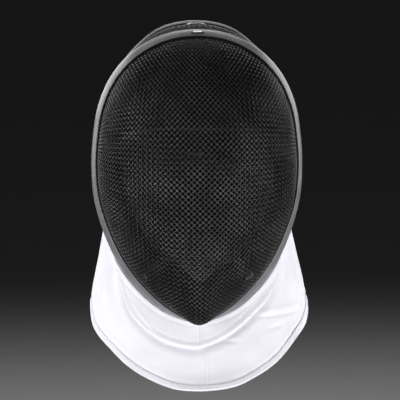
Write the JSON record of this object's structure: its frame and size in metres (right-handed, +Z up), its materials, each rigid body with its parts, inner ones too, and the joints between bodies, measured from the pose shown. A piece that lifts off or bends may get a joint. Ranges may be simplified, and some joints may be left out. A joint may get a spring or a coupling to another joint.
{
  "type": "fencing mask",
  "caption": "Fencing mask: domed wire face mesh in dark edging, short rear crown mesh, padded lining, spring tongue, back strap and a white bib over the throat.",
  "frame": {"origin": "where the crown of the wearer's head sits, under the top of the rear mesh, in the middle plane", "axes": "+Z up as worn, -Y the way the face looks, +X to the right of someone facing the mask"},
  "size_m": [0.2162, 0.2179, 0.3349],
  "materials": {
    "wire_mesh": "black-coated steel wire, satin",
    "edging": "satin dark grey coated edging tape",
    "bright_steel": "bright brushed steel",
    "spring_steel": "dark spring steel",
    "padding": "black brushed knit over foam",
    "elastic": "black woven elastic",
    "white_cloth": "bluish white close-woven cloth"
  },
  "bodies": {
    "root": {"front_mesh": "wire_mesh", "front_trim": "edging", "rear_mesh": "wire_mesh", "rear_trim": "edging", "trim_clip": "bright_steel", "tongue_plate": "bright_steel", "tongue": "spring_steel", "tongue_pad": "padding", "back_strap": "elastic", "forehead_pad": "padding", "cheek_pad_left": "padding", "cheek_pad_right": "padding", "chin_pad": "padding", "bib_skirt": "white_cloth", "throat_band": "white_cloth", "bib_hem": "white_cloth"}
  },
  "joints": []
}
